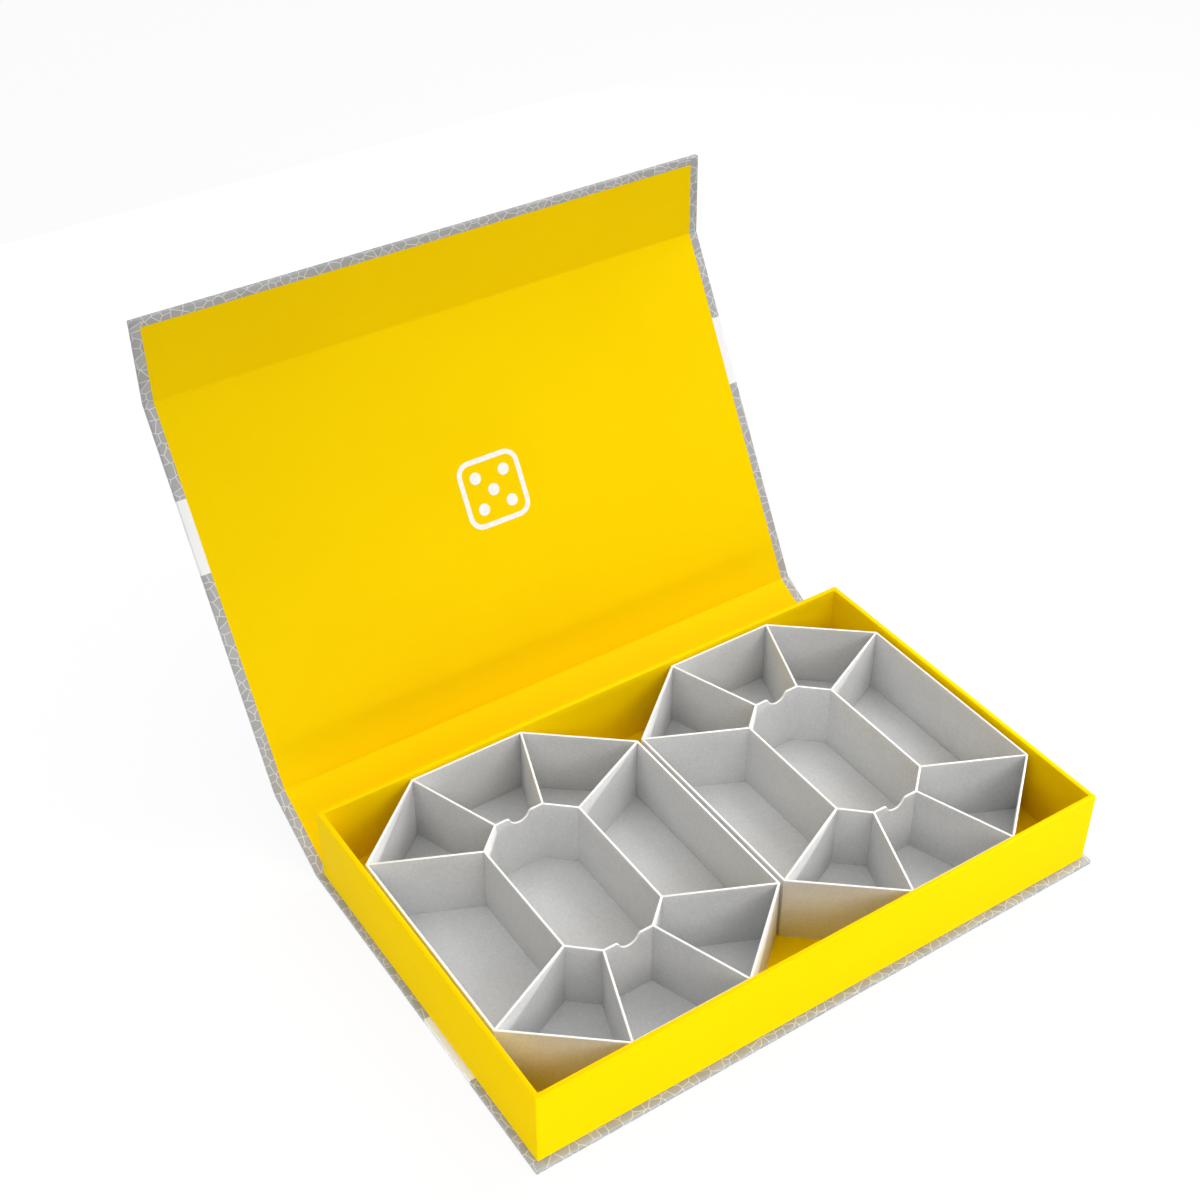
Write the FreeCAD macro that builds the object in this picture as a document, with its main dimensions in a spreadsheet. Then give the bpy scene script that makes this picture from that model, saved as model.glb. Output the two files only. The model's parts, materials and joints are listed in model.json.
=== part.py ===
"""Flip-top board game box: a turned-edge board case, a paper-covered tray and two lift-out inserts.

Millimetres, +Z up. The origin is the centre of the tray, on the underside of the base panel.
X runs along the box, -Y is the front and the creases of the case lie along X behind the tray.
"""
import FreeCAD, Part
import Sketcher
import os

doc = FreeCAD.newDocument("game_box")
sheet = doc.addObject("Spreadsheet::Sheet", "Dims")

# Driving dimensions, in millimetres and degrees
DIMENSIONS = [
    ("tray_length", 285.0),
    ("tray_depth", 177.2),
    ("tray_height", 38.1),
    ("tray_board", 2.0),
    ("tray_paper", 0.2),
    ("case_board", 2.0),
    ("case_paper", 0.25),
    ("liner_paper", 0.25),
    ("end_ledge", 2.5),
    ("turn_in", 4.5),
    ("end_turn_in", 3.7),
    ("crease_clear", 0.4),
    ("spine_clear", 1.2),
    ("front_clear", 0.6),
    ("lid_clear", 1.0),
    ("tip_clear", 0.35),
    ("spine_rest", 27.5),
    ("lid_rest", 60.5),
    ("flap_rest", 89.0),
    ("magnet_radius", 6.0),
    ("magnet_thick", 1.5),
    ("magnet_spread", 150.0),
    ("magnet_height", 22.0),
    ("insert_wall", 1.0),
    ("insert_floor", 1.0),
    ("insert_rim_drop", 2.1),
    ("insert_end_clear", 1.8),
    ("insert_gap", 1.8),
    ("insert_side_clear", 0.4),
    ("corner_length", 40.7),
    ("corner_depth", 34.1),
    ("core_length", 48.4),
    ("core_depth", 84.2),
    ("core_corner_length", 12.1),
    ("core_corner_depth", 11.0),
    ("notch_width", 12.4),
    ("notch_depth", 4.5),
    ("notch_shoulder", 1.6),
    ("overshoot", 2.0),
]
for row, (alias, value) in enumerate(DIMENSIONS, start=1):
    sheet.set(f"A{row}", alias)
    sheet.set(f"B{row}", str(value))
    sheet.setAlias(f"B{row}", alias)
doc.recompute()


def dim(alias):
    """The sheet's cell of this name, for use inside an expression."""
    return f"Dims.{alias}"


def degrees(alias):
    return f"({dim(alias)} * 1 deg)"


# Sizes worked out from the driving ones, as expressions
CASE_LENGTH = f"({dim('tray_length')} + 2 * {dim('end_ledge')})"
PANEL = f"({dim('case_paper')} + {dim('case_board')} + {dim('liner_paper')})"
CREASE_HALF = f"({PANEL} / 2 + {dim('crease_clear')})"
REAR_AXIS_Y = f"({dim('tray_depth')} / 2 + {dim('spine_clear')} + {PANEL} / 2)"
REAR_AXIS_Z = f"({PANEL} / 2)"
SPINE_LENGTH = f"({PANEL} + {dim('tray_height')} + {dim('lid_clear')})"
LID_LENGTH = f"({dim('tray_depth')} + {dim('spine_clear')} + {dim('front_clear')} + {PANEL})"
FLAP_LENGTH = f"({SPINE_LENGTH} - {PANEL} / 2 - {dim('tip_clear')})"
BASE_FRONT_Y = f"(-{dim('tray_depth')} / 2 - {dim('front_clear')} - {PANEL})"
TRAY_WALL = f"({dim('tray_board')} + 2 * {dim('tray_paper')})"
TRAY_INNER_LENGTH = f"({dim('tray_length')} - 2 * {TRAY_WALL})"
TRAY_INNER_DEPTH = f"({dim('tray_depth')} - 2 * {TRAY_WALL})"
TRAY_FLOOR_Z = f"({PANEL} + {dim('tray_board')} + {dim('tray_paper')})"
INSERT_LENGTH = f"(({TRAY_INNER_LENGTH} - 2 * {dim('insert_end_clear')} - {dim('insert_gap')}) / 2)"
INSERT_DEPTH = f"({TRAY_INNER_DEPTH} - 2 * {dim('insert_side_clear')})"
INSERT_CENTRE = f"(({INSERT_LENGTH} + {dim('insert_gap')}) / 2)"
RIM_Z = f"({PANEL} + {dim('tray_height')} - {dim('insert_rim_drop')})"
INSERT_WALL_Z = f"({TRAY_FLOOR_Z} + {dim('insert_floor')})"
INSERT_WALL_HEIGHT = f"({RIM_Z} - {INSERT_WALL_Z})"

LEVEL = "0"
TOP_AXIS_Y = f"({REAR_AXIS_Y} + {SPINE_LENGTH} * cos({degrees('spine_rest')}))"
TOP_AXIS_Z = f"({REAR_AXIS_Z} + {SPINE_LENGTH} * sin({degrees('spine_rest')}))"
FLAP_AXIS_Y = f"({TOP_AXIS_Y} + {LID_LENGTH} * cos({degrees('lid_rest')}))"
FLAP_AXIS_Z = f"({TOP_AXIS_Z} + {LID_LENGTH} * sin({degrees('lid_rest')}))"

# Each panel's own frame: its crease's place in Y and Z, and its rise from the floor.
# In that frame +Y runs along the panel away from the tray and +Z is its inner face's normal.
BASE_FRAME = (REAR_AXIS_Y, REAR_AXIS_Z, LEVEL)
SPINE_FRAME = (REAR_AXIS_Y, REAR_AXIS_Z, dim("spine_rest"))
LID_FRAME = (TOP_AXIS_Y, TOP_AXIS_Z, dim("lid_rest"))
FLAP_FRAME = (FLAP_AXIS_Y, FLAP_AXIS_Z, dim("flap_rest"))

X_AXIS = FreeCAD.Vector(1, 0, 0)
Z_AXIS = FreeCAD.Vector(0, 0, 1)
SUB_PARTS = []
BLOCK_CORNERS = {}


def value_of(expression):
    """The number that an expression on the sheet gives now."""
    return float(sheet.evalExpression(expression))


def bind(item, **expressions):
    for name, expression in expressions.items():
        item.setExpression(name, expression)
    return item


def place(item, x="0", y="0", z="0"):
    item.setExpression("Placement.Base.x", x)
    item.setExpression("Placement.Base.y", y)
    item.setExpression("Placement.Base.z", z)
    return item


def turn(item, axis, angle):
    item.Placement = FreeCAD.Placement(FreeCAD.Vector(), FreeCAD.Rotation(axis, 1.0))
    item.setExpression("Placement.Rotation.Angle", angle)
    return item


def box(name, x, y, z):
    """A block between two limits along each axis, each pair given as expressions."""
    item = doc.addObject("Part::Box", name)
    bind(item, Length=f"({x[1]}) - ({x[0]})", Width=f"({y[1]}) - ({y[0]})", Height=f"({z[1]}) - ({z[0]})")
    BLOCK_CORNERS[name] = (x[0], y[0], z[0])
    return place(item, x[0], y[0], z[0])


def centred(length):
    return (f"-({length}) / 2", f"({length}) / 2")


def cut(name, base, tool):
    item = doc.addObject("Part::Cut", name)
    item.Base = base
    item.Tool = tool
    return item


def common(name, base, tool):
    item = doc.addObject("Part::Common", name)
    item.Base = base
    item.Tool = tool
    return item


def fuse(name, shapes):
    item = doc.addObject("Part::MultiFuse", name)
    item.Shapes = shapes
    return item


def group(name, shapes):
    item = doc.addObject("Part::Compound", name)
    item.Links = shapes
    return item


def sub_part(item, label):
    """Marks a document object as one piece of the finished box."""
    item.Label = label
    SUB_PARTS.append(item)
    return item


def raise_to(item, frame):
    """The piece, drawn flat about the origin, set at its crease and raised to its angle."""
    y, z, rise = frame
    corner_x, corner_y, corner_z = BLOCK_CORNERS.get(item.Name, ("0", "0", "0"))
    cosine = f"cos({rise} * 1 deg)"
    sine = f"sin({rise} * 1 deg)"
    turn(item, X_AXIS, rise)
    along = f"{y} + ({corner_y}) * {cosine} - ({corner_z}) * {sine}"
    up = f"{z} + ({corner_y}) * {sine} + ({corner_z}) * {cosine}"
    return place(item, corner_x, along, up)


# Case panels
def board_block(name, ends, closed):
    """The greyboard's block: inside the turned edges at the sides and at a closed end."""
    inset = [dim("case_paper") if end else "0" for end in closed]
    floor = f"-{PANEL} / 2 + {dim('case_paper')}"
    y = (f"({ends[0]}) + {inset[0]}", f"({ends[1]}) - {inset[1]}")
    z = (floor, f"{floor} + {dim('case_board')}")
    return box(name, centred(f"{CASE_LENGTH} - 2 * {dim('case_paper')}"), y, z)


def liner_block(name, ends, closed, rise="0"):
    """The lining sheet's block: inside the turned-in border at the sides and at a closed end."""
    inset = [dim("end_turn_in") if end else "0" for end in closed]
    y = (f"({ends[0]}) + {inset[0]}", f"({ends[1]}) - {inset[1]}")
    z = (f"{PANEL} / 2 - {dim('liner_paper')}", f"{PANEL} / 2 + {rise}")
    return box(name, centred(f"{CASE_LENGTH} - 2 * {dim('turn_in')}"), y, z)


def wrap_shell(name, ends, closed):
    """The outer paper: under the board, round its edges and in over its border."""
    past = [f"({ends[0]}) - {dim('overshoot')}", f"({ends[1]}) + {dim('overshoot')}"]
    room = [ends[side] if closed[side] else past[side] for side in (0, 1)]
    sheet_block = box(f"{name}_sheet", centred(CASE_LENGTH), ends, centred(PANEL))
    board_room = board_block(f"{name}_board_room", room, closed)
    liner_room = liner_block(f"{name}_liner_room", room, closed, dim("overshoot"))
    return cut(name, cut(f"{name}_folded", sheet_block, board_room), liner_room)


def panel(prefix, ends, closed, frame, pockets=None):
    """One case panel of three pieces: board, outer paper and lining paper."""
    board = board_block(f"{prefix}_board_block", ends, closed)
    if pockets:
        board = cut(f"{prefix}_board_pocketed", board, pockets)
    wrap = wrap_shell(f"{prefix}_wrap_shell", ends, closed)
    liner = liner_block(f"{prefix}_liner_block", ends, closed)
    for piece, kind in ((board, "board"), (wrap, "wrap"), (liner, "liner")):
        sub_part(raise_to(piece, frame), f"{prefix}_{kind}")


def disc(name, x, y, z, radius, height):
    item = doc.addObject("Part::Cylinder", name)
    bind(item, Radius=radius, Height=height)
    return place(item, x, y, z)


def disc_pair(name, y, z, height):
    """Two upright discs, half the magnets' spread to each side of the middle."""
    half = f"{dim('magnet_spread')} / 2"
    left = disc(f"{name}_left", f"-{half}", y, z, dim("magnet_radius"), height)
    right = disc(f"{name}_right", half, y, z, dim("magnet_radius"), height)
    return group(name, [left, right])


def flap_magnets():
    """Magnets let into the flap board from its inner face, level with the catch plates when shut."""
    along = f"{REAR_AXIS_Z} + {SPINE_LENGTH} - {dim('magnet_height')}"
    seat = f"{PANEL} / 2 - {dim('liner_paper')} - {dim('magnet_thick')}"
    magnets = disc_pair("magnet_pair", along, seat, dim("magnet_thick"))
    sub_part(raise_to(magnets, FLAP_FRAME), "flap_magnets")
    return disc_pair("magnet_pockets", along, seat, f"{dim('magnet_thick')} + {dim('overshoot')}")


def case_panels():
    spine_ends = (CREASE_HALF, f"{SPINE_LENGTH} - {CREASE_HALF}")
    lid_ends = (CREASE_HALF, f"{LID_LENGTH} - {CREASE_HALF}")
    panel("base", (f"{BASE_FRONT_Y} - {REAR_AXIS_Y}", f"-{CREASE_HALF}"), (True, False), BASE_FRAME)
    panel("spine", spine_ends, (False, False), SPINE_FRAME)
    panel("lid", lid_ends, (False, False), LID_FRAME)
    panel("flap", (CREASE_HALF, FLAP_LENGTH), (False, True), FLAP_FRAME, flap_magnets())


# Creases
def lengthwise_rod(name, radius, length, angle="360"):
    """A round bar, or a slice of one, lying along X about the crease's axis."""
    rod = doc.addObject("Part::Cylinder", name)
    bind(rod, Radius=radius, Height=length, Angle=angle)
    rod.Placement = FreeCAD.Placement(FreeCAD.Vector(), FreeCAD.Rotation(0, 90, 0))
    return place(rod, f"-({length}) / 2")


def crease_wrap(prefix, before, after):
    """The outer paper at a crease: flat up to the axis, round it at half the panel, flat again."""
    bend = f"({after[2]} - {before[2]})"
    outer = f"{PANEL} / 2"
    inner = f"({outer} - {dim('case_paper')})"
    name = f"{prefix}_crease_wrap"
    skin = (f"-{outer}", f"-{inner}")
    flat_before = box(f"{name}_before", centred(CASE_LENGTH), (f"-{CREASE_HALF}", "0"), skin)
    flat_after = box(f"{name}_after", centred(CASE_LENGTH), ("0", CREASE_HALF), skin)
    raise_to(flat_after, ("0", "0", bend))
    slice_outer = lengthwise_rod(f"{name}_round", outer, CASE_LENGTH, bend)
    slice_inner = lengthwise_rod(f"{name}_hollow", inner, f"{CASE_LENGTH} + 2 * {dim('overshoot')}")
    bent = cut(f"{name}_bent", slice_outer, slice_inner)
    joined = fuse(f"{name}_joined", [flat_before, bent, flat_after])
    joined.Refine = True
    return sub_part(raise_to(joined, (after[0], after[1], before[2])), name)


def crease_liner(prefix, before, after):
    """The lining paper at a crease: two flat strips that meet in a mitred valley."""
    half_bend = f"(({after[2]} - {before[2]}) / 2 * 1 deg)"
    face = f"{PANEL} / 2"
    back = f"({face} - {dim('liner_paper')})"
    name = f"{prefix}_crease_liner"
    bend = f"(({after[2]} - {before[2]}) * 1 deg)"

    def raised(y, z):
        return (f"({y}) * cos({bend}) - ({z}) * sin({bend})", f"({y}) * sin({bend}) + ({z}) * cos({bend})")

    points = [
        (f"-{CREASE_HALF}", face),
        (f"-{CREASE_HALF}", back),
        (f"-{back} * tan({half_bend})", back),
        raised(CREASE_HALF, back),
        raised(CREASE_HALF, face),
        (f"-{face} * tan({half_bend})", face),
    ]
    body = prism(f"{name}_strip", [points], f"{CASE_LENGTH} - 2 * {dim('turn_in')}", "YZ_Plane", True)
    return sub_part(raise_to(body, (after[0], after[1], before[2])), name)


def creases():
    for prefix, before, after in (
        ("rear", BASE_FRAME, SPINE_FRAME),
        ("top", SPINE_FRAME, LID_FRAME),
        ("flap", LID_FRAME, FLAP_FRAME),
    ):
        crease_wrap(prefix, before, after)
        crease_liner(prefix, before, after)


# Outlines
def outline(sketch, points):
    """A closed outline whose corners are each held by two signed distances from the origin."""
    corners = [FreeCAD.Vector(value_of(x), value_of(y), 0) for x, y in points]
    first = sketch.GeometryCount
    count = len(points)
    for index in range(count):
        sketch.addGeometry(Part.LineSegment(corners[index], corners[(index + 1) % count]), False)
    for index in range(count):
        line = first + index
        following = first + (index + 1) % count
        sketch.addConstraint(Sketcher.Constraint("Coincident", line, 2, following, 1))
    for index, (x, y) in enumerate(points):
        corner = corners[index]
        for kind, reach, expression in (("DistanceX", corner.x, x), ("DistanceY", corner.y, y)):
            number = sketch.addConstraint(Sketcher.Constraint(kind, -1, 1, first + index, 1, reach))
            sketch.setExpression(f"Constraints[{number}]", expression)


def prism(name, outlines, height, plane="XY_Plane", midplane=False):
    """A body padded from one outline, or from an outer and an inner one."""
    body = doc.addObject("PartDesign::Body", name)
    sketch = body.newObject("Sketcher::SketchObject", f"{name}_outline")
    support = [item for item in body.Origin.OriginFeatures if item.Role == plane][0]
    sketch.AttachmentSupport = (support, [""])
    sketch.MapMode = "FlatFace"
    for points in outlines:
        outline(sketch, points)
    pad = body.newObject("PartDesign::Pad", f"{name}_pad")
    pad.Profile = sketch
    pad.Midplane = midplane
    pad.setExpression("Length", height)
    body.Tip = pad
    return body


# Tray
def tray_blocks():
    """The tray's board walls: the long ones full length, the short ones between them."""
    length = f"{dim('tray_length')} - 2 * {dim('tray_paper')}"
    depth = f"{dim('tray_depth')} - 2 * {dim('tray_paper')}"
    rise = (PANEL, f"{PANEL} + {dim('tray_height')} - {dim('tray_paper')}")
    front = (f"-({depth}) / 2", f"-({depth}) / 2 + {dim('tray_board')}")
    rear = (f"({depth}) / 2 - {dim('tray_board')}", f"({depth}) / 2")
    left = (f"-({length}) / 2", f"-({length}) / 2 + {dim('tray_board')}")
    right = (f"({length}) / 2 - {dim('tray_board')}", f"({length}) / 2")
    between = (front[1], rear[0])
    return {
        "front": (centred(length), front, rise),
        "rear": (centred(length), rear, rise),
        "left": (left, between, rise),
        "right": (right, between, rise),
    }


def catch_plates():
    """Steel discs let into the front wall's outer face, and the pockets they sit in."""
    wall_face = f"(-{dim('tray_depth')} / 2 + {dim('tray_paper')})"
    outside = f"{wall_face} - {dim('overshoot')}"
    pocket_depth = f"{dim('magnet_thick')} + {dim('overshoot')}"
    discs = []
    pockets = []
    for side, sign in (("left", "-"), ("right", "")):
        for kind, found, start, depth in (
            ("plate", discs, wall_face, dim("magnet_thick")),
            ("pocket", pockets, outside, pocket_depth),
        ):
            item = doc.addObject("Part::Cylinder", f"catch_{kind}_{side}")
            bind(item, Radius=dim("magnet_radius"), Height=depth)
            item.Placement = FreeCAD.Placement(FreeCAD.Vector(), FreeCAD.Rotation(X_AXIS, -90))
            place(item, f"{sign}{dim('magnet_spread')} / 2", start, dim("magnet_height"))
            found.append(item)
    sub_part(group("catch_pair", discs), "catch_plates")
    return group("catch_pockets", pockets)


def tray():
    blocks = tray_blocks()
    walls = {side: box(f"tray_{side}_block", *limits) for side, limits in blocks.items()}
    sub_part(cut("tray_front_pocketed", walls["front"], catch_plates()), "tray_front_wall")
    for side in ("rear", "left", "right"):
        sub_part(walls[side], f"tray_{side}_wall")
    inner = (centred(TRAY_INNER_LENGTH), centred(TRAY_INNER_DEPTH))
    floor_top = f"{PANEL} + {dim('tray_board')}"
    sub_part(box("tray_floor_block", *inner, (PANEL, floor_top)), "tray_floor_board")
    sub_part(box("tray_floor_sheet", *inner, (floor_top, TRAY_FLOOR_Z)), "tray_floor_liner")
    rim = f"{PANEL} + {dim('tray_height')}"
    outside = box("tray_outside", centred(dim("tray_length")), centred(dim("tray_depth")), (PANEL, rim))
    hollow_z = (f"{PANEL} - {dim('overshoot')}", f"{rim} + {dim('overshoot')}")
    hollow = box("tray_hollow", *inner, hollow_z)
    rooms = [box(f"tray_{side}_room", *limits) for side, limits in blocks.items()]
    shell = cut("tray_wrap_folded", outside, hollow)
    sub_part(cut("tray_wrap_shell", shell, fuse("tray_board_room", rooms)), "tray_wrap")


# Inserts
class Octagon:
    """A rectangle with its corners cut off, centred on the origin, as expressions."""

    def __init__(self, length, depth, corner_length, corner_depth):
        self.half_x = f"(({length}) / 2)"
        self.half_y = f"(({depth}) / 2)"
        self.end_y = f"({self.half_y} - {corner_depth})"
        self.side_x = f"({self.half_x} - {corner_length})"
        self.corner_length = corner_length
        self.corner_depth = corner_depth

    def inside(self, wall):
        """The outline one wall further in, with its slanted sides moved in by the same wall."""
        slant = f"sqrt({self.corner_length} ^ 2 + {self.corner_depth} ^ 2)"
        inner = Octagon.__new__(Octagon)
        inner.half_x = f"({self.half_x} - {wall})"
        inner.half_y = f"({self.half_y} - {wall})"
        inner.end_y = f"({self.end_y} - {wall} * ({slant} - {self.corner_depth}) / {self.corner_length})"
        inner.side_x = f"({self.side_x} - {wall} * ({slant} - {self.corner_length}) / {self.corner_depth})"
        return inner

    def points(self):
        return [
            (self.half_x, self.end_y),
            (self.side_x, self.half_y),
            (f"-{self.side_x}", self.half_y),
            (f"-{self.half_x}", self.end_y),
            (f"-{self.half_x}", f"-{self.end_y}"),
            (f"-{self.side_x}", f"-{self.half_y}"),
            (self.side_x, f"-{self.half_y}"),
            (self.half_x, f"-{self.end_y}"),
        ]


OUTER = Octagon(INSERT_LENGTH, INSERT_DEPTH, dim("corner_length"), dim("corner_depth"))
CORE = Octagon(dim("core_length"), dim("core_depth"), dim("core_corner_length"), dim("core_corner_depth"))
OUTER_INSIDE = OUTER.inside(dim("insert_wall"))
CORE_INSIDE = CORE.inside(dim("insert_wall"))


def notch_tool():
    """A finger notch through both short walls of the core: a shallow round with rounded shoulders."""
    half = f"({dim('notch_width')} / 2)"
    span = f"(({half} ^ 2 + {dim('notch_depth')} ^ 2) / (2 * {dim('notch_depth')}))"
    round_radius = f"({span} - {dim('notch_shoulder')})"
    round_z = f"({INSERT_WALL_HEIGHT} - {dim('notch_depth')} + {round_radius})"
    shoulder_z = f"({INSERT_WALL_HEIGHT} - {dim('notch_shoulder')})"
    meeting_z = f"({shoulder_z} + ({round_z} - {shoulder_z}) * {dim('notch_shoulder')} / {span})"
    reach = f"({dim('core_depth')} + 2 * {dim('overshoot')})"

    def bar(name, radius, x, z):
        item = doc.addObject("Part::Cylinder", name)
        bind(item, Radius=radius, Height=reach)
        item.Placement = FreeCAD.Placement(FreeCAD.Vector(), FreeCAD.Rotation(X_AXIS, -90))
        return place(item, x, f"-{reach} / 2", z)

    mouth_z = (meeting_z, f"{INSERT_WALL_HEIGHT} + {dim('overshoot')}")
    mouth = box("notch_mouth", (f"-{half}", half), centred(reach), mouth_z)
    shoulders = [
        bar("notch_shoulder_left", dim("notch_shoulder"), f"-{half}", shoulder_z),
        bar("notch_shoulder_right", dim("notch_shoulder"), half, shoulder_z),
    ]
    rounded_mouth = cut("notch_mouth_rounded", mouth, group("notch_shoulders", shoulders))
    return fuse("notch_tool", [bar("notch_round", round_radius, "0", round_z), rounded_mouth])


def divider_plates():
    """Eight upright plates from the core's corners to the outer wall's, long enough to be trimmed."""
    plates = []
    for sign_x, sign_y in (("", ""), ("-", ""), ("-", "-"), ("", "-")):
        for start, end in (
            ((CORE.half_x, CORE.end_y), (OUTER_INSIDE.half_x, OUTER_INSIDE.end_y)),
            ((CORE.side_x, CORE.half_y), (OUTER_INSIDE.side_x, OUTER_INSIDE.half_y)),
        ):
            run_x = f"({sign_x}1 * ({end[0]} - {start[0]}))"
            run_y = f"({sign_y}1 * ({end[1]} - {start[1]}))"
            name = f"divider_plate_{len(plates) + 1}"
            reach = f"(sqrt({run_x} ^ 2 + {run_y} ^ 2) + {dim('overshoot')})"
            along = (f"-{dim('overshoot')}", reach)
            plate = box(name, along, centred(dim("insert_wall")), ("0", INSERT_WALL_HEIGHT))
            bearing = f"atan2({run_y}; {run_x})"
            back = dim("overshoot")
            side = f"({dim('insert_wall')} / 2)"
            turn(plate, Z_AXIS, bearing)
            corner_x = f"{sign_x}1 * {start[0]} - {back} * cos({bearing}) + {side} * sin({bearing})"
            corner_y = f"{sign_y}1 * {start[1]} - {back} * sin({bearing}) - {side} * cos({bearing})"
            plates.append(place(plate, corner_x, corner_y))
    return plates


def inserts():
    """Both inserts: a floor, an outer wall band, a core band and the dividers between them."""
    ring_room = cut(
        "divider_room",
        prism("divider_room_outside", [OUTER_INSIDE.points()], INSERT_WALL_HEIGHT),
        prism("divider_room_core", [CORE.points()], INSERT_WALL_HEIGHT),
    )
    plates = divider_plates()
    tool = notch_tool()
    for side, centre in (("left", f"-{INSERT_CENTRE}"), ("right", INSERT_CENTRE)):
        floor = prism(f"{side}_floor_slab", [OUTER.points()], dim("insert_floor"))
        band = prism(f"{side}_outer_band", [OUTER.points(), OUTER_INSIDE.points()], INSERT_WALL_HEIGHT)
        core = prism(f"{side}_core_band", [CORE.points(), CORE_INSIDE.points()], INSERT_WALL_HEIGHT)
        notched = cut(f"{side}_core_notched", core, tool)
        sub_part(place(floor, centre, "0", TRAY_FLOOR_Z), f"{side}_insert_floor")
        sub_part(place(band, centre, "0", INSERT_WALL_Z), f"{side}_insert_outer_wall")
        sub_part(place(notched, centre, "0", INSERT_WALL_Z), f"{side}_insert_core_wall")
        for number, plate in enumerate(plates, start=1):
            divider = common(f"{side}_divider_{number}", plate, ring_room)
            sub_part(place(divider, centre, "0", INSERT_WALL_Z), f"{side}_insert_divider_{number}")


def check_and_write():
    doc.recompute()
    failed = [item.Name for item in doc.Objects if "Invalid" in item.State or "Error" in item.State]
    bad = [item.Label for item in SUB_PARTS if item.Shape.isNull() or not item.Shape.isValid()]
    if failed or bad:
        raise RuntimeError(f"failed objects {failed}, bad shapes {bad}")
    os.makedirs("parts", exist_ok=True)
    for item in SUB_PARTS:
        item.Shape.exportStep(f"parts/{item.Label}.step")
        print(f"{item.Label}: {len(item.Shape.Solids)} solids, {item.Shape.Volume / 1000:.3f} cm3")


case_panels()
creases()
tray()
inserts()
check_and_write()
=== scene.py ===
# %% [markdown]
# # A flip-top board game box
# The box is a case of four board panels that fold on paper creases, a tray glued to the first panel and
# two lift-out inserts. The solids already give every size and joint, so this lesson only dresses them:
# it folds the papers over the boards, rounds the edges that hands and eyes meet, and mixes the finishes.

# %% Load the solids
import bmesh
import bpy
import json
import math
from mathutils import Matrix, Vector


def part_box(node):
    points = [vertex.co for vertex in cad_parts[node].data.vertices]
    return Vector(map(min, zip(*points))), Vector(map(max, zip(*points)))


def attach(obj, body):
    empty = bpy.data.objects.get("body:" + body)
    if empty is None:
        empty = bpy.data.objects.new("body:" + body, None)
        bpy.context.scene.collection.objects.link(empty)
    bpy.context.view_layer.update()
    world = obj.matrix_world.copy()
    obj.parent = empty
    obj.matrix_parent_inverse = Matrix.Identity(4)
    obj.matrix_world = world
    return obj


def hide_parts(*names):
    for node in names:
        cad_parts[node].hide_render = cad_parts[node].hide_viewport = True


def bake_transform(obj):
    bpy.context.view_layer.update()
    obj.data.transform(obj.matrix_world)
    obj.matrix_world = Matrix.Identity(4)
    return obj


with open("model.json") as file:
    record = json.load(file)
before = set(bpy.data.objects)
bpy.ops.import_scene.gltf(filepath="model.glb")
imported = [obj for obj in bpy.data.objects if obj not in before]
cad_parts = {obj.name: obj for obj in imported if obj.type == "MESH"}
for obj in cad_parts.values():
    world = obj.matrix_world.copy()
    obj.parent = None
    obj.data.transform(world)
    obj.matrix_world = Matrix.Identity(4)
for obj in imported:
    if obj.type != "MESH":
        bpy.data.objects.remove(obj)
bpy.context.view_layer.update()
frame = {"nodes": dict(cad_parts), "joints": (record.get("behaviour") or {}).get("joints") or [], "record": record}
MM = 0.001
scene = bpy.context.scene

# %% [markdown]
# ## Shader maths as plain expressions
# A finish is a web of nodes, and so is the sky. Wrapping a socket in a small class lets Python's own
# operators add the Math nodes, so a mask reads as the sum it is. Every other node comes from one method that
# sets its options first and then its sockets, which keeps each finish short enough to read in one go.


# %% Sockets that add, subtract and multiply
class Link:
    """An output socket of a web of nodes, which Python's operators can work on."""

    def __init__(self, web, socket):
        self.web = web
        self.socket = socket

    def maths(self, operation, first, second):
        return self.web.node("ShaderNodeMath", {"operation": operation}, {0: first, 1: second})

    def __add__(self, other):
        return self.maths("ADD", self, other)

    def __radd__(self, other):
        return self.maths("ADD", other, self)

    def __sub__(self, other):
        return self.maths("SUBTRACT", self, other)

    def __rsub__(self, other):
        return self.maths("SUBTRACT", other, self)

    def __mul__(self, other):
        return self.maths("MULTIPLY", self, other)

    def __rmul__(self, other):
        return self.maths("MULTIPLY", other, self)

    def __gt__(self, other):
        return self.maths("GREATER_THAN", self, other)

    def __lt__(self, other):
        return self.maths("LESS_THAN", self, other)


# %% One method for every other node
class Web:
    """A tree of nodes, and the one method that adds any node to it."""

    def __init__(self, tree):
        self.tree = tree

    def node(self, kind, settings=None, sockets=None, out=0):
        made = self.tree.nodes.new(kind)
        for option, value in (settings or {}).items():
            setattr(made, option, value)
        for socket, value in (sockets or {}).items():
            self.feed(made.inputs[socket], value)
        return Link(self, made.outputs[out])

    def feed(self, socket, value):
        if isinstance(value, Link):
            self.tree.links.new(value.socket, socket)
        else:
            socket.default_value = value


# %% A material and the nodes that it uses most
NOISE_MEAN = 0.5


def sway(noise, swing):
    """A noise as a change to both sides of nought, by this swing from end to end."""
    return (noise - NOISE_MEAN) * swing


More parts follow.
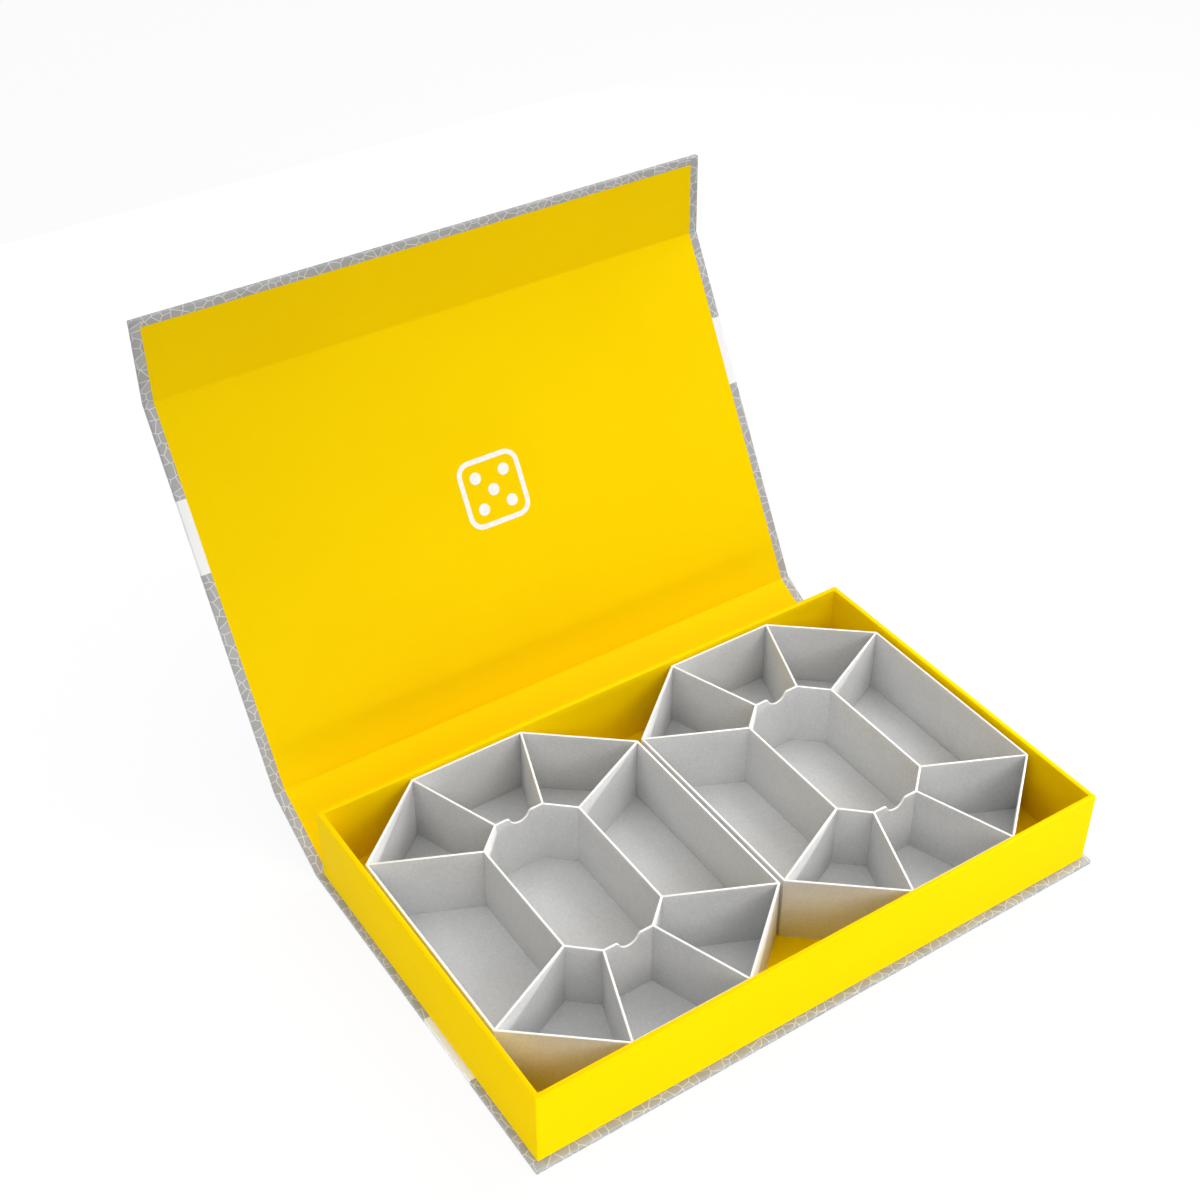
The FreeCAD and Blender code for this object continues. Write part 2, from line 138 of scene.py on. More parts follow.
class Finish(Web):
    """A material with one Principled shader."""

    def __init__(self, name, **constants):
        self.material = bpy.data.materials.new(name)
        self.material.use_nodes = True
        super().__init__(self.material.node_tree)
        self.shader = self.tree.nodes["Principled BSDF"]
        for socket, value in constants.items():
            self.shader.inputs[socket.replace("_", " ")].default_value = value

    def shade(self, **links):
        for socket, value in links.items():
            self.feed(self.shader.inputs[socket.replace("_", " ")], value)
        return self.material

    def mix(self, share, first, second):
        """A colour between two, by a share from 0 to 1."""
        return self.node("ShaderNodeMix", {"data_type": "RGBA"}, {0: share, 6: first, 7: second}, out=2)

    def noise(self, place, size, detail=2.0, out="Fac"):
        """Soft random values whose patches are about this many metres across."""
        sockets = {"Vector": place, "Scale": 1 / size, "Detail": detail}
        return self.node("ShaderNodeTexNoise", None, sockets, out)

    def soft_step(self, value, low, high):
        """0 below the first limit, 1 above the second and a smooth rise between."""
        settings = {"interpolation_type": "SMOOTHSTEP", "clamp": True}
        return self.node("ShaderNodeMapRange", settings, {"Value": value, 1: low, 2: high})

    def bump(self, height, depth):
        """A normal that is tilted as if the surface rose by this depth in metres."""
        sockets = {"Strength": 1.0, "Distance": depth, "Height": height}
        return self.node("ShaderNodeBump", None, sockets, "Normal")


print("finish helpers ready")

# %% [markdown]
# ## Papers
# The lining is a coated yellow paper with a fine tooth. The outside is a printed paper: mid grey under a net
# of thin white lines that part it into uneven cells, with a plain white band across the lid and the base.
# The papers are flat sheets before they are folded, so their print reads where each point lay on the flat
# sheet, which is stored on the mesh. That way the print runs on unbroken over edges and creases.

# %% Where a finish reads its place
FLAT_PLACE = "flat_place"


def on_sheet(finish):
    """The point's place on the flat, unfolded sheet, in metres."""
    return finish.node("ShaderNodeAttribute", {"attribute_name": FLAT_PLACE}, None, "Vector")


def on_object(finish):
    return finish.node("ShaderNodeTexCoord", None, None, "Object")


# %% Yellow lining paper
YELLOW = (0.965, 0.668, 0.0, 1.0)
YELLOW_DEEP = (0.925, 0.622, 0.0, 1.0)
TOOTH = 0.35 * MM
TOOTH_DETAIL = 3.0
TOOTH_DEPTH = 0.006 * MM
CLOUD = 60.0 * MM
YELLOW_LIMITS = (0.3, 0.7)
YELLOW_ROUGHNESS = 0.55
YELLOW_SHEEN = 0.02


def yellow_paper(name, place_of):
    """A matt coated paper: a fine tooth, and a colour that drifts slightly over the sheet."""
    finish = Finish(name, Specular_IOR_Level=YELLOW_SHEEN)
    place = place_of(finish)
    tooth = finish.noise(place, TOOTH, TOOTH_DETAIL)
    cloud = finish.noise(place, CLOUD)
    tint = cloud * 0.3 + tooth * 0.7
    return finish.shade(
        Base_Color=finish.mix(finish.soft_step(tint, *YELLOW_LIMITS), YELLOW_DEEP, YELLOW),
        Roughness=YELLOW_ROUGHNESS + sway(tooth, 0.22) + sway(cloud, 0.1),
        Normal=finish.bump(tooth, TOOTH_DEPTH),
    )


# %% Grey printed paper
PRINT_GREY = (0.350, 0.348, 0.345, 1.0)
PRINT_GREY_PALE = (0.440, 0.438, 0.435, 1.0)
PRINT_LINE = (0.72, 0.72, 0.71, 1.0)
PRINT_WHITE = (0.88, 0.88, 0.88, 1.0)
CELL = 4.8 * MM
LINE = 0.32 * MM
LINE_SOFTNESS = 0.4
LINE_GLOSS = 0.06
WANDER = 2.2 * CELL
WANDER_REACH = 0.35 * CELL
PRINT_ROUGHNESS = 0.5
PRINT_SHEEN = 0.25


def printed_paper(name, bands):
    """The outside paper, with a white band over each (start, end) along the flat sheet."""
    finish = Finish(name, Specular_IOR_Level=PRINT_SHEEN)
    place = on_sheet(finish)
    wander = finish.noise(place, WANDER, out="Color")
    drift = finish.node("ShaderNodeVectorMath", {"operation": "SCALE"}, {0: wander, "Scale": WANDER_REACH})
    bent = finish.node("ShaderNodeVectorMath", {"operation": "ADD"}, {0: place, 1: drift})
    cells = {"Vector": bent, "Scale": 1 / CELL, "Randomness": 1.0}
    flat = {"voronoi_dimensions": "2D"}
    edge = finish.node("ShaderNodeTexVoronoi", flat | {"feature": "DISTANCE_TO_EDGE"}, cells, "Distance")
    shade = finish.node("ShaderNodeTexVoronoi", flat | {"feature": "F1"}, cells, "Color")
    tone = finish.node("ShaderNodeSeparateColor", None, {"Color": shade}, 0)
    half = LINE / CELL / 2
    line = 1 - finish.soft_step(edge, (1 - LINE_SOFTNESS) * half, (1 + LINE_SOFTNESS) * half)
    fibre = finish.noise(place, TOOTH, TOOTH_DETAIL)
    along = finish.node("ShaderNodeSeparateXYZ", None, {0: place}, "Y")
    white = 0.0
    for start, end in bands:
        white = white + (along > start) * (along < end)
    grey = finish.mix(tone * 0.7 + fibre * 0.3, PRINT_GREY, PRINT_GREY_PALE)
    netted = finish.mix(line, grey, PRINT_LINE)
    return finish.shade(
        Base_Color=finish.mix(white, netted, PRINT_WHITE),
        Roughness=PRINT_ROUGHNESS + sway(fibre, 0.24) - line * LINE_GLOSS,
        Normal=finish.bump(fibre, TOOTH_DEPTH),
    )


# %% [markdown]
# ## Card, board, nickel and ink
# The inserts are cut from uncoated card with a grey face. A mark on the mesh's faces picks out the rims and
# notches, which are painted white as a highlight where the top faces catch the light. The greyboard and the
# nickel of the magnets stay nearly out of sight, so they are kept simple: flecked pulp, and a dull metal with
# fine scuffs. White ink lies thinly on the lining.

# %% Grey-faced card of the inserts, painted white on rims and notches as a highlight
CARD = (0.72, 0.72, 0.715, 1.0)
CARD_DULL = (0.635, 0.635, 0.63, 1.0)
# painted highlight: the white given to rims and notches, the top faces that catch the most light
CARD_PAINTED_HIGHLIGHT = (0.93, 0.93, 0.925, 1.0)
CARD_DEPTH = 0.010 * MM
GRAIN = 0.7 * MM
GRAIN_DETAIL = 4.0
FLECK = 1.8 * MM
FLECK_DETAIL = 3.0
MOTTLE = 14.0 * MM
CARD_LIMITS = (0.34, 0.66)
CARD_ROUGHNESS = 0.72
CARD_SHEEN = 0.2
PAINTED_HIGHLIGHT_COVER = 0.9
PAINTED_HIGHLIGHT_GRAIN = 0.2
PAINTED_HIGHLIGHT_MARK = "cut_edge"


def insert_card(name):
    """Uncoated card with a grey face, painted white as a highlight on the marked rim and notch faces."""
    finish = Finish(name, Specular_IOR_Level=CARD_SHEEN)
    place = on_object(finish)
    grain = finish.noise(place, GRAIN, GRAIN_DETAIL)
    fleck = finish.noise(place, FLECK, FLECK_DETAIL)
    mottle = finish.noise(place, MOTTLE)
    # the mark picks the rims and notches, which get the painted highlight
    cut = finish.node("ShaderNodeAttribute", {"attribute_name": PAINTED_HIGHLIGHT_MARK}, None, "Fac")
    tint = grain * 0.5 + fleck * 0.35 + mottle * 0.15
    face = finish.mix(finish.soft_step(tint, *CARD_LIMITS), CARD_DULL, CARD)
    return finish.shade(
        Base_Color=finish.mix(cut * (PAINTED_HIGHLIGHT_COVER + grain * PAINTED_HIGHLIGHT_GRAIN), face, CARD_PAINTED_HIGHLIGHT),
        Roughness=CARD_ROUGHNESS + sway(grain, 0.2),
        Normal=finish.bump(grain * 0.6 + fleck * 0.4, CARD_DEPTH),
    )


# %% Greyboard, which the papers cover
BOARD_DARK = (0.20, 0.185, 0.16, 1.0)
BOARD_PALE = (0.36, 0.34, 0.30, 1.0)
BOARD_FLECK = 0.8 * MM
BOARD_CLOUD = 12.0 * MM
BOARD_DETAIL = 4.0
BOARD_DEPTH = 0.03 * MM
BOARD_ROUGHNESS = 0.85
BOARD_SHEEN = 0.2


def grey_board(name):
    """Pressed waste pulp, flecked and rough."""
    finish = Finish(name, Specular_IOR_Level=BOARD_SHEEN)
    place = on_object(finish)
    flecks = finish.noise(place, BOARD_FLECK, BOARD_DETAIL)
    cloud = finish.noise(place, BOARD_CLOUD)
    return finish.shade(
        Base_Color=finish.mix(flecks * 0.7 + cloud * 0.3, BOARD_DARK, BOARD_PALE),
        Roughness=BOARD_ROUGHNESS + sway(flecks, 0.2),
        Normal=finish.bump(flecks, BOARD_DEPTH),
    )


# %% Nickel on the magnets and catch plates
NICKEL_DULL = (0.54, 0.53, 0.51, 1.0)
NICKEL_BRIGHT = (0.68, 0.67, 0.65, 1.0)
SCUFF = 0.6 * MM
SCUFF_DETAIL = 3.0
SCUFF_DEPTH = 0.004 * MM
NICKEL_CLOUD = 6.0 * MM
NICKEL_ROUGHNESS = 0.28


def nickel(name):
    """A plated metal that fine scuffs have dulled."""
    finish = Finish(name, Metallic=1.0)
    place = on_object(finish)
    scuff = finish.noise(place, SCUFF, SCUFF_DETAIL)
    cloud = finish.noise(place, NICKEL_CLOUD)
    return finish.shade(
        Base_Color=finish.mix(cloud, NICKEL_DULL, NICKEL_BRIGHT),
        Roughness=NICKEL_ROUGHNESS + scuff * 0.2,
        Normal=finish.bump(scuff, SCUFF_DEPTH),
    )


# %% White ink of the emblem
INK_THIN = (0.87, 0.86, 0.83, 1.0)
INK_WHITE = (0.93, 0.93, 0.92, 1.0)
INK_PATCH = 2.5 * MM
INK_LIMITS = (0.3, 0.7)
INK_ROUGHNESS = 0.45
INK_SHEEN = 0.35


def white_ink(name):
    """Ink that follows the paper's tooth, and is a little thinner in patches."""
    finish = Finish(name, Specular_IOR_Level=INK_SHEEN)
    place = on_sheet(finish)
    tooth = finish.noise(place, TOOTH, TOOTH_DETAIL)
    patch = finish.noise(place, INK_PATCH)
    return finish.shade(
        Base_Color=finish.mix(finish.soft_step(patch, *INK_LIMITS), INK_THIN, INK_WHITE),
        Roughness=INK_ROUGHNESS + sway(tooth, 0.2),
        Normal=finish.bump(tooth, TOOTH_DEPTH),
    )


# %% [markdown]
# ## The case's four panels
# Each panel turns about the crease it hangs from, so it is easiest to model it lying flat with that crease
# on the X axis, and to raise it afterwards. The creases' places and rises come from the joints: at a joint's
# upper limit its panel is in line with the one before, so that limit is the angle between the two at rest.

# %% A panel's own frame
joints = {joint["name"]: joint for joint in frame["joints"]}


class Panel:
    """A flat panel's own frame: the crease it turns on, its rise and where its sheet starts."""

    def __init__(self, name, crease, rise, sheet_start):
        self.name = name
        self.crease = Vector(joints[crease]["pos_m"])
        self.rise = rise
        self.sheet_start = sheet_start
        self.place = Matrix.Translation(self.crease) @ Matrix.Rotation(rise, 4, "X")

    def extent(self, node):
        """A solid's limits in the panel's frame: across in X, along in Y, through in Z."""
        back = self.place.inverted()
        points = [back @ vertex.co for vertex in frame["nodes"][node].data.vertices]
        low = Vector([min(point[axis] for point in points) for axis in range(3)])
        high = Vector([max(point[axis] for point in points) for axis in range(3)])
        return low, high


# %% Measure the four panels
def upper_limit(crease):
    return math.radians(joints[crease]["range_deg"][1])


def gap_between(first, second):
    return (Vector(joints[second]["pos_m"]) - Vector(joints[first]["pos_m"])).length


spine_rise = upper_limit("rear_crease")
lid_rise = spine_rise + upper_limit("top_crease")
flap_rise = lid_rise + upper_limit("flap_crease")
spine_start = Vector(joints["rear_crease"]["pos_m"]).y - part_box("base_wrap")[0].y
lid_start = spine_start + gap_between("rear_crease", "top_crease")
flap_start = lid_start + gap_between("top_crease", "flap_crease")
base = Panel("base", "rear_crease", 0.0, spine_start)
spine = Panel("spine", "rear_crease", spine_rise, spine_start)
lid = Panel("lid", "top_crease", lid_rise, lid_start)
flap = Panel("flap", "flap_crease", flap_rise, flap_start)
for panel in (base, spine, lid, flap):
    low, high = panel.extent(f"{panel.name}_wrap")
    length = round((high.y - low.y) / MM, 1)
    print(panel.name, "rise", round(math.degrees(panel.rise), 1), "length mm", length)

# %% [markdown]
# ## Tools for folding paper
# A folded sheet starts as a block of the panel's size. Its open ends and the window on its inner face are
# deleted, its folds are rounded by a bevel, and Solidify gives the sheet its thickness, growing inwards to
# the board. Faces and edges are chosen by where they lie, as one would click them by hand.


# %% Start a block
def open_new_shape():
    """Fixes the place and scale of the shape that was just added, and opens it for editing."""
    bpy.ops.object.transform_apply(location=True, rotation=True, scale=True)
    bpy.ops.object.mode_set(mode="EDIT")


def start_block(name, low, high):
    """A cube at its size and place, left in edit mode with nothing selected."""
    if bpy.context.object and bpy.context.object.mode != "OBJECT":
        bpy.ops.object.mode_set(mode="OBJECT")
    bpy.ops.object.select_all(action="DESELECT")
    bpy.ops.mesh.primitive_cube_add(size=1.0, location=(low + high) / 2)
    block = bpy.context.object
    block.name = name
    block.data.name = name
    block.scale = high - low
    open_new_shape()
    bpy.ops.mesh.select_all(action="DESELECT")
    return block


# %% Choose parts by where they lie
ON_AXIS = 0.9
FOLD_ANGLE = 1.0


def choose(block, kind, test):
    """Selects the faces or edges that pass a test, by their place and direction."""
    bpy.ops.mesh.select_mode(type="FACE" if kind == "faces" else "EDGE")
    bpy.ops.mesh.select_all(action="DESELECT")
    edit = bmesh.from_edit_mesh(block.data)
    for item in getattr(edit, kind):
        item.select_set(bool(test(item)))
    edit.select_flush_mode()
    bmesh.update_edit_mesh(block.data)


def delete_faces(block, test):
    choose(block, "faces", test)
    bpy.ops.mesh.delete(type="FACE")


def middle(item):
    total = Vector()
    for vertex in item.verts:
        total += vertex.co
    return total / len(item.verts)


def runs_along(edge):
    """True for an edge that follows the sheet's length, which is Y."""
    return abs((edge.verts[1].co - edge.verts[0].co).normalized().y) > ON_AXIS


def is_fold(edge):
    return len(edge.link_faces) == 2 and edge.calc_face_angle() > FOLD_ANGLE


# %% Cut a sheet
NEAR = 0.01 * MM


def add_rows(sheet, rows):
    """Cuts a sheet across its length into rows, so that it can bend."""
    choose(sheet, "edges", runs_along)
    bpy.ops.mesh.subdivide(number_cuts=rows)


def slice_inner_face(block, height, axis, at):
    """Cuts the faces at one height across an axis, as a ruler and knife would."""
    normal = Vector((1, 0, 0)) if axis == 0 else Vector((0, 1, 0))
    choose(block, "faces", lambda face: abs(middle(face).z - height) < NEAR and abs(face.normal.z) > ON_AXIS)
    bpy.ops.mesh.bisect(plane_co=normal * at, plane_no=normal)


# %% Close a mesh
SMOOTH_ANGLE = math.radians(40)


def finish_mesh(block):
    bpy.ops.object.mode_set(mode="OBJECT")
    bpy.ops.object.shade_smooth_by_angle(angle=SMOOTH_ANGLE)
    return block


def apply_modifier(block, kind, **settings):
    modifier = block.modifiers.new(kind.title(), kind)
    for option, value in settings.items():
        setattr(modifier, option, value)
    bpy.ops.object.modifier_apply(modifier=modifier.name)


# %% [markdown]
# ## Where a point lay before the folding
# The print needs the flat sheet, but the mesh is already folded. A point's way round the board is easy to
# measure, though: along the outer face, up the edge and in over the border. Unrolling those lengths gives
# its place on the flat sheet, which is stored as an attribute of the faces' corners.

# %% Unroll a folded sheet
FACING_DOWN = -0.5


class Fold:
    """A sheet folded round a board, which tells where a point of it lay before the folding."""

    def __init__(self, low, high, window, closed):
        self.low = low
        self.high = high
        self.window = window
        self.closed = closed

    def folded_end(self, face):
        """The closed end that a face was folded over, or nothing for the rest of the sheet."""
        if face.normal.z < FACING_DOWN or abs(face.center.x) > self.window[1].x:
            return None
        ends = (self.low.y, self.high.y)
        for end, edge, closed in zip(ends, (self.window[0].y, self.window[1].y), self.closed):
            if closed and abs(face.center.y - end) < abs(edge - end):
                return end
        return None

    def flat(self, spot, face):
        depth = spot.z - self.low.z
        turned_in = depth > (self.high.z - self.low.z) / 2
        end = self.folded_end(face)
        if end is None:
            inset = self.high.x - abs(spot.x)
            reach = self.high.x + depth + (inset if turned_in else -inset)
            return math.copysign(reach, spot.x), spot.y
        inset = abs(spot.y - end)
        reach = depth + (inset if turned_in else -inset)
        return spot.x, end + (reach if end == self.high.y else -reach)


def note_flat_place(block, sheet_start, fold=None):
    """Stores where each face's corners lay on the flat sheet, before the piece is raised or bent."""
    values = []
    for face in block.data.polygons:
        for index in face.vertices:
            spot = block.data.vertices[index].co
            across, along = fold.flat(spot, face) if fold else (spot.x, spot.y)
            values += [across, along + sheet_start, 0.0]
    attribute = block.data.attributes.new(FLAT_PLACE, "FLOAT_VECTOR", "CORNER")
    attribute.data.foreach_set("vector", values)


# %% Raise and dress a piece
def raise_panel(block, panel):
    """Sets a flat piece at its crease and angle, with the move kept in its mesh."""
    block.data.transform(panel.place)
    block.data.update()
    return block


def dress(block, material):
    block.data.materials.clear()
    block.data.materials.append(material)
    return block


print("paper tools ready")

# %% [markdown]
# ## Mixing the finishes
# Each finish is made once and shared by every piece of that stuff, as a roll of paper would be. The white
# bands of the print are placed by their distance along the flat sheet, from the front edge of the base.

# %% Mix the finishes
LID_BAND = (104.0 * MM, 138.0 * MM)
BASE_BAND = (49.5 * MM, 86.0 * MM)
bands = [BASE_BAND, (lid_start + LID_BAND[0], lid_start + LID_BAND[1])]
outer_print = printed_paper("grey_printed_paper", bands)
lining = yellow_paper("yellow_lining_paper", on_sheet)
tray_paper = yellow_paper("yellow_tray_paper", on_object)
card = insert_card("grey_insert_card")
board = grey_board("greyboard")
plated = nickel("nickel_plate")
emblem_ink = white_ink("white_ink")
print("finishes:", [m.name for m in (outer_print, lining, tray_paper, card, board, plated, emblem_ink)])

# %% [markdown]
# ## Outer paper, folded over the boards
# The printed sheet runs under each board, up its edges and a few millimetres in over the inner face, where
# it shows as a grey border round the lining. The base is folded at its front too, and the flap at its tip.

# %% Fold the outer paper of each panel
PAPER = 0.25 * MM
SHEET_FOLD = 0.45 * MM
FOLD_STEPS = 3
OPEN_ENDS = (False, False)
CLOSED_ENDS = {"base": (True, False), "spine": OPEN_ENDS, "lid": OPEN_ENDS, "flap": (False, True)}


def fold_sheet(name, low, high, window, closed, rows=0):
    """A sheet folded round a board: open where it runs on into a crease, closed at an outer edge."""
    sheet = start_block(name, low, high)
    for end, side in ((low.y, 0), (high.y, 1)):
        if not closed[side]:
            delete_faces(sheet, lambda face: abs(middle(face).y - end) < NEAR)
    for edge in (window[0].x, window[1].x):
        slice_inner_face(sheet, high.z, 0, edge)
    for edge, side in ((window[0].y, 0), (window[1].y, 1)):
        if closed[side]:
            slice_inner_face(sheet, high.z, 1, edge)
    centre = (window[0] + window[1]) / 2
    centre.z = high.z
    delete_faces(sheet, lambda face: (middle(face) - centre).length < (high.z - low.z) / 2)
    choose(sheet, "edges", is_fold)
    bpy.ops.mesh.bevel(offset=SHEET_FOLD, segments=FOLD_STEPS, affect="EDGES")
    if rows:
        add_rows(sheet, rows)
    bpy.ops.object.mode_set(mode="OBJECT")
    apply_modifier(sheet, "SOLIDIFY", thickness=PAPER, offset=-1.0)
    return finish_mesh(sheet)


for panel in (base, spine, lid, flap):
    low, high = panel.extent(f"{panel.name}_wrap")
    window = panel.extent(f"{panel.name}_liner")
    closed = CLOSED_ENDS[panel.name]
    sheet = fold_sheet(f"{panel.name}_outer_paper", low, high, window, closed)
    note_flat_place(sheet, panel.sheet_start, Fold(low, high, window, closed))
    dress(raise_panel(sheet, panel), outer_print)
    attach(sheet, panel.name)
    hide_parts(f"{panel.name}_wrap")
    print(sheet.name, len(sheet.data.polygons), "faces")

# %% [markdown]
# ## Yellow lining on the inner faces
# The lining is pasted on last, so it lies a hair above the turned-in border, and its cut edges are not quite
# sharp. It is a thin block whose long upper edges get a tiny bevel, which is enough to catch the light.

# %% Paste the lining sheets
PROUD = 0.05 * MM
LINING_EASE = 0.8 * PROUD
EASE_STEPS = 2


def lining_sheet(name, low, high, rows=0):
    """A thin block that stands proud of the border, with its long upper edges eased."""
    sheet = start_block(name, low, high + Vector((0, 0, PROUD)))
    top = high.z + PROUD
    choose(sheet, "edges", lambda edge: abs(middle(edge).z - top) < NEAR and runs_along(edge))
    bpy.ops.mesh.bevel(offset=LINING_EASE, segments=EASE_STEPS, affect="EDGES")
    if rows:
        add_rows(sheet, rows)
    return finish_mesh(sheet)


for panel in (base, spine, lid, flap):
    low, high = panel.extent(f"{panel.name}_liner")
    if panel is base:
        high.z -= PROUD  # the tray stands on this sheet
    sheet = lining_sheet(f"{panel.name}_lining", low, high)
    note_flat_place(sheet, panel.sheet_start)
    dress(raise_panel(sheet, panel), lining)
    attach(sheet, panel.name)
    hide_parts(f"{panel.name}_liner")
    print(sheet.name, "across mm", round((high.x - low.x) / MM, 1))

# %% [markdown]
# ## Creases
# Between two boards only paper is left, and it bends. Each strip is folded flat with several rows across the
# crease, and every row is then turned about the crease's axis by its share of the angle.

# %% Bend the strips
ROWS = 9


class Crease:
    """The gap between two panels: its width, its bend at rest and its frame on the first panel."""

    def __init__(self, name, before, after):
        self.before = before
        self.after = after
        self.flat = Panel(before.name, name, before.rise, after.sheet_start)
        self.half_gap = after.extent(f"{after.name}_wrap")[0].y
        self.bend = after.rise - before.rise

    def strip_box(self, node):
        """The limits of a flat strip with a neighbour's section, across the gap."""
        low, high = self.after.extent(node)
        return Vector((low.x, -self.half_gap, low.z)), Vector((high.x, self.half_gap, high.z))

    def bend_strip(self, strip):
        """Turns each row by a smooth share of the bend, from none at one board to all at the other."""
        for vertex in strip.data.vertices:
            share = min(max((vertex.co.y + self.half_gap) / (2 * self.half_gap), 0.0), 1.0)
            smooth = share * share * (3 - 2 * share)
            vertex.co = Matrix.Rotation(self.bend * smooth, 3, "X") @ vertex.co
        strip.data.update()


def settle_strip(strip, crease, material, node):
    """Bends a flat strip and sets it at its crease."""
    crease.bend_strip(strip)
    dress(raise_panel(strip, crease.flat), material)
    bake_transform(strip)
    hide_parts(node)
    print(strip.name, "bends", round(math.degrees(crease.bend), 1), "degrees at rest")


for name, before, after in (("rear", base, spine), ("top", spine, lid), ("flap", lid, flap)):
    crease = Crease(f"{name}_crease", before, after)
    low, high = crease.strip_box(f"{after.name}_wrap")
    window = crease.strip_box(f"{after.name}_liner")
    strip = fold_sheet(f"{name}_crease_paper", low, high, window, OPEN_ENDS, ROWS)
    note_flat_place(strip, after.sheet_start, Fold(low, high, window, OPEN_ENDS))
    settle_strip(strip, crease, outer_print, f"{name}_crease_wrap")
    strip = lining_sheet(f"{name}_crease_lining", *window, ROWS)
    note_flat_place(strip, after.sheet_start)
    settle_strip(strip, crease, lining, f"{name}_crease_liner")

# %% [markdown]
# ## The tray's paper
# The tray is covered by one yellow sheet that goes up the outside, over the rim and down the inside. A block
# loses its underside, its top is inset by the wall and pushed down to the floor, and every fold is rounded.
# The sheet stops just short of the case at its foot, where the shaded slit draws a thin dark line.

# %% Cover the tray
TRAY_FOLD = 0.42 * MM
TRAY_SHEET = 0.2 * MM
FOOT = 0.5 * MM


def tray_cover():
    low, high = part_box("tray_wrap")
    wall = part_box("tray_floor_board")[0].x - low.x
    low.z += FOOT
    cover = start_block("tray_paper", low, high)
    delete_faces(cover, lambda face: face.normal.z < -ON_AXIS)
    choose(cover, "faces", lambda face: face.normal.z > ON_AXIS)
    bpy.ops.mesh.inset(thickness=wall, use_even_offset=True)
    bpy.ops.mesh.extrude_region_move(TRANSFORM_OT_translate={"value": (0, 0, low.z - high.z)})
    bpy.ops.mesh.delete(type="FACE")
    choose(cover, "edges", is_fold)
    bpy.ops.mesh.bevel(offset=TRAY_FOLD, segments=FOLD_STEPS, affect="EDGES")
    bpy.ops.object.mode_set(mode="OBJECT")
    apply_modifier(cover, "SOLIDIFY", thickness=TRAY_SHEET, offset=-1.0)
    return finish_mesh(cover)


cover = tray_cover()
dress(cover, tray_paper)
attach(cover, "base")
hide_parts("tray_wrap")
print("tray paper:", len(cover.data.polygons), "faces")

# %% [markdown]
# ## Inserts
# The walls and dividers are die-cut card. Their solids already have the right shape, finger notches too, but
# a cut edge is never perfectly sharp. A copy of each solid is merged, its flat faces are joined up again and
# a small bevel is run round its edges. The copy then stands for the solid.

# %% Ease the edges of the insert card
EASE = 0.15 * MM
NOTCH_REACH = 8.0 * MM
MERGE = 0.001 * MM
FLAT_ANGLE = math.radians(0.5)
CORNER_ANGLE = math.radians(35)


def note_painted_rim_highlight(piece):
    """Marks the faces that lie wholly near the top, rims and notches, for the painted highlight."""
    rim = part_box("left_insert_outer_wall")[1].z
    vertices = piece.data.vertices
    lowest = [min(vertices[index].co.z for index in face.vertices) for face in piece.data.polygons]
    attribute = piece.data.attributes.new(PAINTED_HIGHLIGHT_MARK, "FLOAT", "FACE")
    attribute.data.foreach_set("value", [float(height > rim - NOTCH_REACH) for height in lowest])


def eased_copy(node, name):
    """A copy of a solid with its triangles joined into flat faces and its corners bevelled."""
    bpy.ops.object.select_all(action="DESELECT")
    copy = bpy.data.objects.new(name, frame["nodes"][node].data.copy())
    scene.collection.objects.link(copy)
    copy.data.name = name
    copy.select_set(True)
    bpy.context.view_layer.objects.active = copy
    bpy.ops.object.mode_set(mode="EDIT")
    bpy.ops.mesh.select_all(action="SELECT")
    bpy.ops.mesh.remove_doubles(threshold=MERGE)
    bpy.ops.mesh.dissolve_limited(angle_limit=FLAT_ANGLE)
    bpy.ops.object.mode_set(mode="OBJECT")
    limits = {"limit_method": "ANGLE", "angle_limit": CORNER_ANGLE}
    apply_modifier(copy, "BEVEL", width=EASE, segments=EASE_STEPS, **limits)
    return finish_mesh(copy)


for side in ("left", "right"):
    body = f"{side}_insert"
    for node in frame["record"]["behaviour"]["bodies"][body]:
        piece = eased_copy(node, f"{node}_card")
        note_painted_rim_highlight(piece)
        dress(piece, card)
        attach(piece, body)
        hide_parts(node)
    print(body, "pieces eased")

# %% [markdown]
# ## Emblem on the lid
# A plain printed mark sits in the middle of the lid's lining. Here it is a die showing five: a ring with
# rounded corners and five round pips, a film of white ink just above the paper. The square is bevelled at
# its corners and inset, and the pips are filled circles.

# %% Print the die
EMBLEM_SIZE = 33.0 * MM
EMBLEM_CENTRE = 95.5 * MM
EMBLEM_LINE = 2.4 * MM
EMBLEM_CORNER = 7.0 * MM
CORNER_STEPS = 10
PIP_RADIUS = 2.9 * MM
PIP_SIDES = 40
PIP_STEP = 7.6 * MM
INK = 0.03 * MM


def lift_ink(piece):
    """Gives a flat shape the ink's thickness."""
    bpy.ops.mesh.select_all(action="SELECT")
    bpy.ops.mesh.extrude_region_move(TRANSFORM_OT_translate={"value": (0, 0, INK)})
    bpy.ops.mesh.select_all(action="SELECT")
    bpy.ops.mesh.normals_make_consistent(inside=False)
    bpy.ops.object.mode_set(mode="OBJECT")
    return piece


def die_frame(height):
    bpy.ops.object.select_all(action="DESELECT")
    bpy.ops.mesh.primitive_plane_add(size=EMBLEM_SIZE, location=(0, EMBLEM_CENTRE, height))
    open_new_shape()
    bpy.ops.mesh.select_all(action="SELECT")
    bpy.ops.mesh.bevel(offset=EMBLEM_CORNER, segments=CORNER_STEPS, affect="VERTICES")
    bpy.ops.mesh.select_all(action="SELECT")
    bpy.ops.mesh.inset(thickness=EMBLEM_LINE, use_even_offset=True)
    bpy.ops.mesh.delete(type="FACE")
    return lift_ink(bpy.context.object)


def pip(height, x, y):
    bpy.ops.object.select_all(action="DESELECT")
    disc = {"vertices": PIP_SIDES, "radius": PIP_RADIUS, "fill_type": "NGON"}
    bpy.ops.mesh.primitive_circle_add(location=(x, EMBLEM_CENTRE + y, height), **disc)
    open_new_shape()
    return lift_ink(bpy.context.object)


